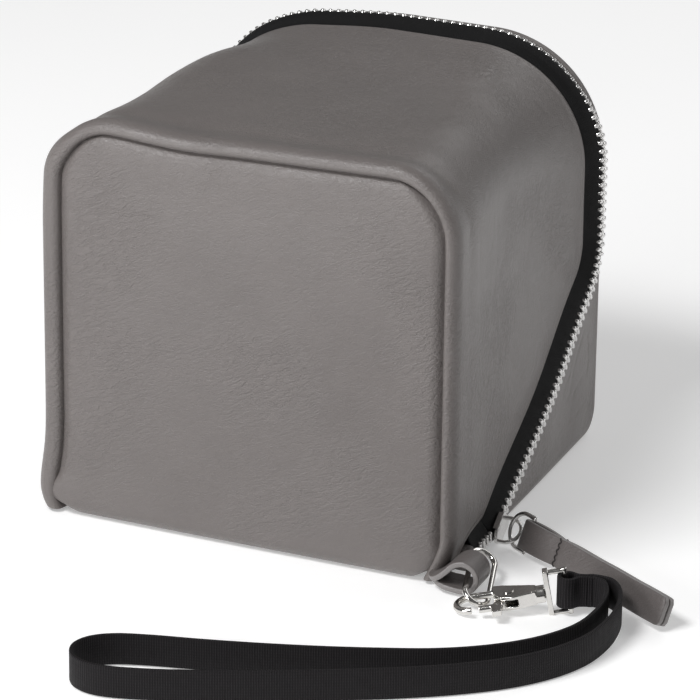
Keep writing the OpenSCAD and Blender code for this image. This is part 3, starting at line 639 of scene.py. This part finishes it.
# ---- front panel, with the fold that wraps under the bottom -------------------
def front_panel():
    inset = 4.55
    radius = EDGE_R - inset
    top = HEIGHT - inset
    heights = list(top - np.array([0, 0.25, 0.6, 1.1, 1.8, 2.8])) + list(np.linspace(top - 4, 13, 78))
    heights += [12, 11, 10, 9, 8, 7, 6, 5.2]
    rows = [(z, 0.0, 0.0) for z in heights]
    rows += [(5 - 5 * math.sin(a), 5 * (1 - math.cos(a)), a) for a in np.linspace(0.15, math.pi / 2, 9)]
    rows += [(0.0, y, math.pi / 2) for y in (7.0, 9.0, 12.0)]
    across = np.concatenate([-1 + np.array([0, 0.003, 0.008, 0.015, 0.026]), np.linspace(-0.955, 0.955, 84),
                             1 - np.array([0.026, 0.015, 0.008, 0.003, 0])])
    points = np.zeros((len(rows), len(across), 3))
    for i, (z, y, turn) in enumerate(rows):
        side = HALF_W - inset
        if z > HEIGHT - EDGE_R:
            side = HALF_W - EDGE_R + math.sqrt(max(radius ** 2 - (z - HEIGHT + EDGE_R) ** 2, 0.01))
        side += 3.4 * float(smooth((15 - z) / 9)) - 4.2 * float(smooth((5.5 - z) / 5.5))
        x = across * side
        edge = np.minimum(side * (1 - np.abs(across)), top - z)
        groove = 2.3 * np.exp(-(edge / 1.5) ** 2)
        pillow = -0.5 * smooth(edge / 9)
        corner = 3.2 * np.clip((np.abs(x) - (side - 6)) / 6, 0, 1) ** 2 * smooth((12 - z) / 9)
        points[i, :, 0] = x
        points[i, :, 1] = -HALF_D - 0.1 + y + (groove + pillow) * math.cos(turn) + corner
        points[i, :, 2] = z + corner * 0.35 * (1 if z < 4 else 0)
    bumps = creases(points, 0.75)
    near = np.minimum((HALF_W - inset) - np.abs(points[..., 0]), top - points[..., 2])
    points[..., 1] += bumps * smooth((near - 2) / 14) * smooth((points[..., 2] - 4) / 16)
    return shell("front_panel_leather", sag(points), LEATHER)


panel = front_panel()
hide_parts("front_panel")
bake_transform(panel)


# ---- rear gusset: wedge below the zip, strip behind it --------------------------
def rear_outline():
    """The boundary of the rear side in (s, y), from the wedge's tip to the top middle."""
    back_r = 9.0
    line = [[0.0, -24.0], [0.0, HALF_D - back_r]]
    turn = np.linspace(0.1, math.pi / 2, 10)
    line += [[back_r - back_r * math.cos(a), HALF_D - back_r + back_r * math.sin(a)] for a in turn]
    line += [[UPRIGHT_Z, HALF_D], [QUARTER, HALF_D]]
    return np.array(line)


def rear_gusset():
    show = -4.5
    edge = zip_line(show)
    tip = np.array([1.2, TURN_Y + (1.2 - ZIP_LOW + 4.5 * math.cos(RISE)) / math.tan(RISE) + 4.5 * math.sin(RISE)])
    edge = edge[edge[:, 0] > 1.5]
    edge = resample(np.concatenate([[tip], edge]), 1.3)
    away = normals_2d(edge)
    d = np.concatenate([[0], np.cumsum(np.linalg.norm(np.diff(edge, axis=0), axis=1))])
    up = d[np.argmin(np.abs(edge[:, 0] - UPRIGHT_Z))]
    outline = rear_outline()
    od = np.concatenate([[0], np.cumsum(np.linalg.norm(np.diff(outline, axis=0), axis=1))])
    at_od = np.interp(d, [0, up, d[-1]], [0, od[-2], od[-1]])
    bound = np.stack([np.interp(at_od, od, outline[:, k]) for k in (0, 1)], -1)
    out = np.stack([np.gradient(bound[:, 1]), np.gradient(bound[:, 0])], -1)
    out = unit(np.stack([-out[:, 0], out[:, 1]], -1))
    edge, away = both_sides(edge, away)
    bound, out = both_sides(bound, out)
    room = np.linalg.norm(edge - bound, axis=1)
    roll = np.minimum(2.6, 0.55 * room)
    rows = []
    for o, n in ((-2.2, -1.9), (-0.3, -1.75), (0, -1.1), (0, -0.45), (-0.25, 0.02), (-0.8, 0.2), (-1.5, 0.1)):
        scale = np.minimum(1, room / 5)
        rows.append((edge + away * (o * scale)[:, None], np.full(len(room), n)))
    body = 40
    inner = bound - out * roll[:, None]
    first = edge + away * (-2.0 * np.minimum(1, room / 5))[:, None]
    for k in range(0, body + 1):
        t = k / body
        rows.append((first * (1 - t) + inner * t, np.zeros(len(room))))
    for a in np.linspace(12, 90, 7):
        a = math.radians(a)
        rows.append((inner + out * (roll * math.sin(a))[:, None], -roll * (1 - math.cos(a))))
    rows.append((bound - out * 0.4, -roll - 1.2))
    rows.append((bound - out * 1.8, -roll - 2.0))
    at = np.stack([r[0] for r in rows], 1)
    n = np.stack([r[1] for r in rows], 1)
    base = nominal(at[..., 0], at[..., 1], 0)
    fade = np.zeros(at.shape[1])
    fade[7:7 + body] = np.sin(np.linspace(0, math.pi, body)) ** 0.7
    size = smooth((room - 6) / 18)
    n = n + creases(base, 1.5) * fade[None, :] * size[:, None]
    return shell("gusset_rear_leather", skin(at[..., 0], at[..., 1], n), LEATHER)


rear = rear_gusset()
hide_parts("rear_gusset")
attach(rear, "base")


# ---- bottom and back in one strip -----------------------------------------------
def bottom_back():
    back_r, inset = 9.0, 2.2
    path = [(y, 0.0) for y in np.linspace(-56, HALF_D - back_r, 34)]
    turn = np.linspace(0.15, math.pi / 2, 9)
    path += [(HALF_D - back_r + back_r * math.sin(a), back_r - back_r * math.cos(a)) for a in turn]
    path += [(HALF_D, z) for z in np.linspace(12, 122, 44)]
    path += [(HALF_D, HEIGHT - inset - k) for k in (7, 5.5, 4, 2.8, 1.8, 1.0, 0.5, 0.0)]
    rim = np.array([0, 0.006, 0.015, 0.03])
    across = np.concatenate([-1 + rim, np.linspace(-0.95, 0.95, 60), 1 - rim[::-1]])
    points = np.zeros((len(path), len(across), 3))
    r = float(corner_radius(HALF_D))
    for i, (y, z) in enumerate(path):
        side = HALF_W - inset
        if z > HEIGHT - r:
            side = HALF_W - r + math.sqrt(max((r - inset) ** 2 - (z - HEIGHT + r) ** 2, 0.01))
        if y < -28:
            side = HALF_W - 1.2 - 2.2 * float(smooth((-y - 44) / 12))
        x = across * side
        edge = side * (1 - np.abs(across))
        if y > 60:
            edge = np.minimum(edge, HEIGHT - inset - z)
        tuck = 1.7 * np.exp(-(edge / 1.4) ** 2)
        along = smooth((y - HALF_D + back_r) / back_r) if z < back_r else 1.0
        points[i, :, 0] = x
        points[i, :, 1] = y - tuck * along
        points[i, :, 2] = z + tuck * (1 - along) + 0.02
    bumps = creases(points, 1.1)
    near = np.minimum((HALF_W - inset) - np.abs(points[..., 0]), HEIGHT - inset - points[..., 2])
    points[..., 1] += bumps * smooth((near - 2) / 14) * smooth((points[..., 2] - 12) / 16)
    return shell("bottom_back_leather", sag(points), LEATHER)


bottom = bottom_back()
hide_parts("bottom_back_panel")
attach(bottom, "base")


def chain_n(s, e):
    """Height of the chain at distance e ahead of its middle: it leans back over the top of the pouch."""
    near = np.minimum(s, 2 * QUARTER - s)
    lean = smooth((near - 98) / 34)
    return CHAIN - 1.5 * lean + 0.62 * lean * e


# ---- zip tapes -----------------------------------------------------------------
def zip_tape(name, ahead):
    """The woven tape on one side of the chain: flat by the teeth, then sloping down under the leather."""
    sign = 1 if ahead else -1
    wide = 10.2 if ahead else 6.6
    reach = np.concatenate([np.linspace(0.8, 2.2, 4), np.linspace(2.9, wide, 9)])
    if ahead:
        middle = zip_line(0, start_y=ZIP_START + 0.4)
    else:
        middle = zip_line(0)
        middle = middle[middle[:, 0] > 4.5]
        middle = np.concatenate([[[ZIP_LOW + 1.2 * math.sin(RISE), TURN_Y + 1.2 * math.cos(RISE)]], middle])
    half = resample(middle, 1.2)
    away = normals_2d(half) * sign
    line, away = both_sides(half, away)
    top_s, top_y, top_n = [], [], []
    for e in reach:
        at = line + away * e
        drop = 3.9 * smooth((e - 1.4) / (wide - 2.0))
        bead = 0.35 * math.exp(-((e - 1.1) / 0.5) ** 2)
        top_s.append(at[:, 0])
        top_y.append(at[:, 1])
        flat = chain_n(at[:, 0], sign * min(e, 2.4))
        end = -1.5
        top_n.append(flat * (1 - drop / 3.9) + end * drop / 3.9 + 0.3 + bead)
    s, y, n = np.stack(top_s, 1), np.stack(top_y, 1), np.stack(top_n, 1)
    s = np.clip(s, 0.3, 2 * QUARTER - 0.3)
    d = np.concatenate([[0], np.cumsum(np.linalg.norm(np.diff(line, axis=0), axis=1))])
    uv = np.stack(np.meshgrid(d, reach, indexing="ij"), -1)
    return slab(name, skin(s, y, n), skin(s, y, n - 0.7), ZIP_TAPE, uv)


tape = zip_tape("zip_tape_front", True)
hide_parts("front_zip_tape")
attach(tape, "lid")
tape = zip_tape("zip_tape_rear", False)
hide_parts("rear_zip_tape")
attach(tape, "base")


# ---- zip teeth -------------------------------------------------------------------
def tooth_shape():
    """One tooth, x along the zip, y from its head out over the tape, z out of the pouch."""
    outline = []
    for a in np.linspace(math.radians(-150), math.radians(-30), 7):
        outline.append((0.68 * math.cos(a), -0.35 + 0.68 * math.sin(a)))
    outline += [(0.60, -0.15), (0.42, 0.15), (0.46, 0.55), (0.66, 1.0), (0.68, 2.1)]
    for a in np.linspace(math.radians(20), math.radians(160), 6):
        outline.append((0.66 * math.cos(a), 2.2 + 0.5 * math.sin(a)))
    outline += [(-0.68, 2.1), (-0.66, 1.0), (-0.46, 0.55), (-0.42, 0.15), (-0.60, -0.15)]
    outline = np.array(outline)
    layers = [(1.1, 0.60), (0.98, 0.86), (0.75, 1.0), (-0.75, 1.0), (-0.98, 0.86), (-1.1, 0.60)]
    centre = np.array([0, 0.9])
    verts = []
    for z, shrink in layers:
        for p in outline:
            pull = np.array([p[0] * shrink, centre[1] + (p[1] - centre[1]) * (1 - (1 - shrink) * 0.42)])
            verts.append((pull[0], pull[1], z))
    count = len(outline)
    faces = grid_faces(len(layers), count, loop_v=True)
    top, low = len(verts), len(verts) + 1
    verts += [(0, 0.9, 1.09), (0, 0.9, -1.09)]
    for k in range(count):
        n = (k + 1) % count
        faces.append((top, k, n))
        base = (len(layers) - 1) * count
        faces.append((low, base + n, base + k))
    return np.array(verts), faces


def chain_places(shift):
    """Places of one row's teeth on the right side, as (s, y), from the slider to the top middle."""
    line = resample(zip_line(0), 0.25)
    at = skin(line[:, 0], line[:, 1], CHAIN)
    d = np.concatenate([[0], np.cumsum(np.linalg.norm(np.diff(at, axis=0), axis=1))])
    start = SLIDER_END + 0.4
    count = int((d[-1] - start) / PITCH)
    pitch = (d[-1] - start) / count
    wanted = start + (np.arange(count) + 0.25 + shift) * pitch
    return np.stack([np.interp(wanted, d, line[:, k]) for k in (0, 1)], -1)


def zip_teeth(name, ahead):
    shape, shape_faces = tooth_shape()
    sign = 1 if ahead else -1
    verts, faces = [], []

    def put(p, along, ahead_dir, left, spread=0.0):
        step = 0.2
        q = np.array([p, p + along * step, p + ahead_dir * step])
        s = np.where(left, 2 * QUARTER - q[:, 0], q[:, 0])
        a = skin(s, q[:, 1], chain_n(s, np.array([0, 0, sign * step])))
        t = unit(a[1] - a[0])
        o = unit(skin(s[:1], q[:1, 1], chain_n(s[:1], 0) + 1)[0] - a[0])
        b = unit(a[2] - a[0])
        b = unit(b - t * (b @ t))
        o = unit(o - t * (o @ t) - b * (o @ b))
        local = shape.copy()
        local[:, 1] += spread
        v = a[0] + local[:, :1] * t + local[:, 1:2] * b + local[:, 2:3] * o
        start = len(verts) * len(shape)
        verts.append(v)
        faces.extend([tuple(start + i for i in f) for f in shape_faces])

    line = resample(zip_line(0), 0.25)
    tangent = unit(np.gradient(line, axis=0))
    for left in (False, True):
        shift = 0.0 if ahead != left else 0.5
        for p in chain_places(shift):
            k = np.argmin(np.linalg.norm(line - p, axis=1))
            t = tangent[k]
            m = np.array([t[1], -t[0]]) * sign
            put(p, t, m, left)
        if ahead:
            y = TURN_Y - 1.0
            while y > ZIP_START + 4.0:
                put(np.array([ZIP_LOW, y]), np.array([0.0, 1.0]), np.array([1.0, 0.0]), left, 0.9)
                y -= PITCH
    return add_mesh(name, np.concatenate(verts), faces, ZIP_METAL)


teeth = zip_teeth("zip_teeth_front", True)
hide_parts("front_zip_teeth")
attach(teeth, "lid")
teeth = zip_teeth("zip_teeth_rear", False)
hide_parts("rear_zip_teeth")
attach(teeth, "base")


# ---- linings ---------------------------------------------------------------------
def front_lining():
    edge = resample(np.concatenate([[[6.0, -52.0]], zip_line(7.0)]), 3.0)
    away = -normals_2d(edge)
    d = np.concatenate([[0], np.cumsum(np.linalg.norm(np.diff(edge, axis=0), axis=1))])
    seam = np.interp(d, [0, 16, d[np.argmin(np.abs(edge[:, 0] - UPRIGHT_Z))], d[-1]], [6, 14, UPRIGHT_Z, QUARTER])
    edge, away = both_sides(edge, away)
    seam = np.concatenate([seam, (2 * QUARTER - seam)[-2::-1]])
    front = np.stack([seam, np.full_like(seam, -61.0)], -1)
    t = np.linspace(0, 1, 40)[None, :, None]
    at = front[:, None] * (1 - t) + edge[:, None] * t
    s, y = at[..., 0], at[..., 1]
    return slab("lining_front_sides", skin(s, y, -2.9), skin(s, y, -3.5), LINING)


def flat_lining(name, inset, y, low, high, thick):
    """A lining sheet across the pouch, with the pouch's rounded upper corners."""
    r = EDGE_R - inset
    heights = np.linspace(low, high - inset - 0.2, 40)
    across = np.linspace(-1, 1, 40)
    points = np.zeros((40, 40, 3))
    for i, z in enumerate(heights):
        side = HALF_W - inset
        if z > HEIGHT - EDGE_R:
            side = HALF_W - EDGE_R + math.sqrt(max(r ** 2 - (z - HEIGHT + EDGE_R) ** 2, 0.01))
        points[i, :, 0] = across * side
        points[i, :, 1] = y
        points[i, :, 2] = z
    return slab(name, sag(points), sag(points + np.array([0, thick, 0])), LINING)


def rear_lining():
    path = [(y, 2.6) for y in np.linspace(-56, 56.5, 30)]
    path += [(56.5 + 6.8 * math.sin(a), 9.4 - 6.8 * math.cos(a)) for a in np.linspace(0.2, math.pi / 2, 7)]
    path += [(63.3, z) for z in np.linspace(14, 127, 30)]
    across = np.linspace(-1, 1, 36)
    points = np.zeros((len(path), 36, 3))
    r = float(corner_radius(HALF_D))
    for i, (y, z) in enumerate(path):
        side = 61.0
        if z > HEIGHT - r:
            side = HALF_W - r + math.sqrt(max((r - 4.6) ** 2 - (z - HEIGHT + r) ** 2, 0.01))
        points[i] = np.stack([across * side, np.full(36, y), np.full(36, z)], -1)
    shift = np.zeros_like(points)
    shift[:, :, 2] = 0.6
    shift[30:, :, 1] = -0.6
    shift[37:, :, 2] = 0
    return slab("lining_rear_floor", sag(points), sag(points + shift), LINING)


def rear_side_lining():
    edge = zip_line(-3.2)
    edge = resample(edge[edge[:, 0] > 5.0], 3.0)
    outline = rear_outline()
    d = np.concatenate([[0], np.cumsum(np.linalg.norm(np.diff(edge, axis=0), axis=1))])
    od = np.concatenate([[0], np.cumsum(np.linalg.norm(np.diff(outline, axis=0), axis=1))])
    up = d[np.argmin(np.abs(edge[:, 0] - UPRIGHT_Z))]
    at_od = np.interp(d, [0, up, d[-1]], [12, od[-2], od[-1]])
    bound = np.stack([np.interp(at_od, od, outline[:, k]) for k in (0, 1)], -1)
    bound[:, 0] = np.maximum(bound[:, 0], 3.4)
    bound[:, 1] = np.minimum(bound[:, 1], 62.4)
    edge, _ = both_sides(edge, edge * 0)
    bound, _ = both_sides(bound, bound * 0)
    t = np.linspace(0, 1, 16)[None, :, None]
    at = edge[:, None] * (1 - t) + bound[:, None] * t
    return slab("lining_rear_sides", skin(at[..., 0], at[..., 1], -2.9), skin(at[..., 0], at[..., 1], -3.5), LINING)


lining = front_lining()
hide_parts("front_lining")
panel_lining = flat_lining("lining_front_panel", 5.6, -61.6, 6.0, HEIGHT, 0.6)
for piece in (lining, panel_lining):
    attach(piece, "lid")
lining = rear_lining()
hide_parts("rear_lining")
for piece in (lining, rear_side_lining()):
    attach(piece, "base")


# ---- loop tab -------------------------------------------------------------------------
def loop_tab():
    profile = [(62.3, 2.75), (64.8, 2.6), (68.5, 2.2), (73.0, 1.95), (76.2, 3.1), (77.7, 6.3), (76.5, 9.5), (73.3, 10.9),
               (70.2, 9.9), (67.8, 7.5), (65.6, 5.5), (64.2, 4.85), (62.3, 4.7)]
    flat = catmull(profile, 8)
    path = np.stack([flat[:, 0], np.full(len(flat), -66.0), flat[:, 1]], -1)
    d = np.linspace(0, 1, len(path))
    root = np.minimum(d, 1 - d) * 46
    path[:, 1] += 2.3 * (1 - smooth(root / 8))
    wide = 1 - 0.45 * (1 - smooth(root / 8))
    return band("loop_tab_leather", path, (0, 1, 0), 10.2, 1.85, 0.5, PULL_LEATHER, EDGE_PAINT, wide=wide, per_corner=5)


tab = loop_tab()
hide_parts("loop_tab")
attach(tab, "base")


# ---- zip end covers ----------------------------------------------------------------------
def zip_ends():
    verts, faces = [], []
    for side in (1, -1):
        b = bmesh.new()
        bmesh.ops.create_cube(b, size=1)
        bmesh.ops.subdivide_edges(b, edges=b.edges, cuts=5, use_grid_fill=True)
        start = sum(len(v) for v in verts)
        points = []
        for v in b.verts:
            p = np.array(v.co) * 2
            q = p / np.maximum(np.max(np.abs(p)), 1e-6)
            ball = unit(p[None])[0]
            p = q * 0.55 + ball * 0.62
            p = np.clip(p, -1, 1)
            points.append((side * (65.6 + p[0] * 2.7), -50.9 + p[1] * 2.1, 3.4 + p[2] * 3.3 + 0.3 * math.sin(p[1] * 2)))
        verts.append(np.array(points))
        b.verts.ensure_lookup_table()
        faces += [tuple(start + v.index for v in f.verts) for f in b.faces]
        b.free()
    return add_mesh("zip_end_covers", np.concatenate(verts), faces, LEATHER)


ends = zip_ends()
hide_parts("zip_end_tabs")
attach(ends, "base")


# ---- leather pull with its tack ---------------------------------------------------------
PULL_AT = np.array([80.4, -33.184, 6.099])
PULL_YAW, PULL_LEAN = math.radians(-31), math.radians(67.6)
PULL_U = np.array([math.cos(PULL_YAW), math.sin(PULL_YAW), 0])
PULL_W = np.array([-math.sin(PULL_YAW) * math.cos(PULL_LEAN), math.cos(PULL_YAW) * math.cos(PULL_LEAN),
                   math.sin(PULL_LEAN)])
PULL_N = np.cross(PULL_U, PULL_W)
TACK_X, PULL_L = 15.0, 66.0


def on_pull(x, y, z):
    return PULL_AT + np.multiply.outer(x, PULL_U) + np.multiply.outer(y, PULL_W) + np.multiply.outer(z, PULL_N)


def leather_pull():
    fold = 1.76
    half = [(65.9, 1.02), (60, 0.98), (50, 1.0), (40, 0.99), (30, 0.98), (22, 0.99), (17.5, 0.93),
            (15.2, 0.74), (13.2, 0.86), (10.5, 1.30),
            (7.5, 1.72), (4.4, 1.90), (1.5, 1.86)]
    half = [(x, z) for x, z in half]
    turn = [(-fold * math.sin(a), fold * math.cos(a)) for a in np.linspace(math.radians(20), math.radians(160), 7)]
    profile = half + turn + [(x, -z) for x, z in half[::-1]]
    flat = catmull(profile, 5)
    path = on_pull(flat[:, 0], np.zeros(len(flat)), flat[:, 1])
    thin = 1 - 0.2 * bell(flat[:, 0], TACK_X + 0.2, 1.6)
    wide = 1 - 0.035 * bell(flat[:, 0], TACK_X + 0.2, 2.4) + 0.01 * np.sin(flat[:, 0] * 0.35)
    return band("pull_leather_strip", path, PULL_W, 9.1, 1.86, 0.42, PULL_LEATHER, EDGE_PAINT, end_round=1.4,
                thin=thin, wide=wide, per_corner=5)


def pull_tack():
    verts, faces = [], []
    count = 9
    for face in (1, -1):
        for k in range(count):
            y = (k - (count - 1) / 2) * 0.98
            tilt = 0.42 if k % 2 else -0.42
            z = face * 1.52
            a = on_pull(TACK_X + 0.2 - tilt, y - 0.42, z)
            b = on_pull(TACK_X + 0.2 + tilt, y + 0.42, z)
            mid = (a + b) / 2 + PULL_N * 0.22 * face
            curve = catmull([a - PULL_N * 0.25 * face, a, mid, b, b - PULL_N * 0.25 * face], 4)
            part = tube("stitch", curve, 0.2, THREAD, 8)
            start = sum(len(v) for v in verts)
            verts.append(np.array([v.co[:] for v in part.data.vertices]) / MM)
            faces += [tuple(start + i for i in f.vertices) for f in part.data.polygons]
            bpy.data.objects.remove(part)
    uv = np.concatenate(verts)[:, :2]
    return add_mesh("pull_stitches", np.concatenate(verts), faces, THREAD, uv)


pull = leather_pull()
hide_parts("pull_strap")
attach(pull, "pull")
tack = pull_tack()
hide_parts("pull_tack")
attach(tack, "pull")


# ---- floor and light ----------------------------------------------------------------
def area(name, place, target, size, power, colour=(1, 1, 1)):
    data = bpy.data.lights.new(name, "AREA")
    data.shape = "RECTANGLE"
    data.size, data.size_y = size
    data.energy = power
    data.color = colour
    lamp = bpy.data.objects.new(name, data)
    lamp.location = place
    lamp.rotation_mode = "QUATERNION"
    lamp.rotation_quaternion = (Vector(place) - Vector(target)).to_track_quat("Z", "Y")
    bpy.context.scene.collection.objects.link(lamp)


def make_floor():
    m = Nodes("floor", Roughness=0.7, Emission_Color=(1, 1, 1, 1), Emission_Strength=0.3)
    tint = m.noise(m.place(), 3.0)
    m.to_shader("Base Color", m.ramp(tint, 0.3, 0.7, ((0.86, 0.86, 0.86, 1), (0.88, 0.88, 0.88, 1))))
    n = 12
    xs = np.linspace(-6000, 6000, n)
    points = np.stack(np.meshgrid(xs, xs, indexing="ij"), -1)
    points = np.concatenate([points, np.full((n, n, 1), -0.05)], -1)
    floor = add_mesh("floor", points.reshape(-1, 3), grid_faces(n, n), m.material)


make_floor()
area("key", (-0.35, -0.75, 1.15), (0, 0, 0.06), (0.55, 0.35), 13)
area("front", (-0.75, -1.5, 0.45), (0, 0, 0.06), (0.7, 0.7), 12)
area("rim", (1.2, 0.75, 0.5), (0.05, 0.03, 0.04), (0.5, 0.5), 3.2)
area("back", (0.3, 1.1, 1.0), (0, 0, 0.08), (1.2, 0.6), 4.0)
world = bpy.data.worlds.new("studio")
bpy.context.scene.world = world
world.use_nodes = True
world.node_tree.nodes["Background"].inputs["Color"].default_value = (1, 1, 1, 1)
world.node_tree.nodes["Background"].inputs["Strength"].default_value = 0.13
bpy.context.scene.view_settings.view_transform = "Standard"
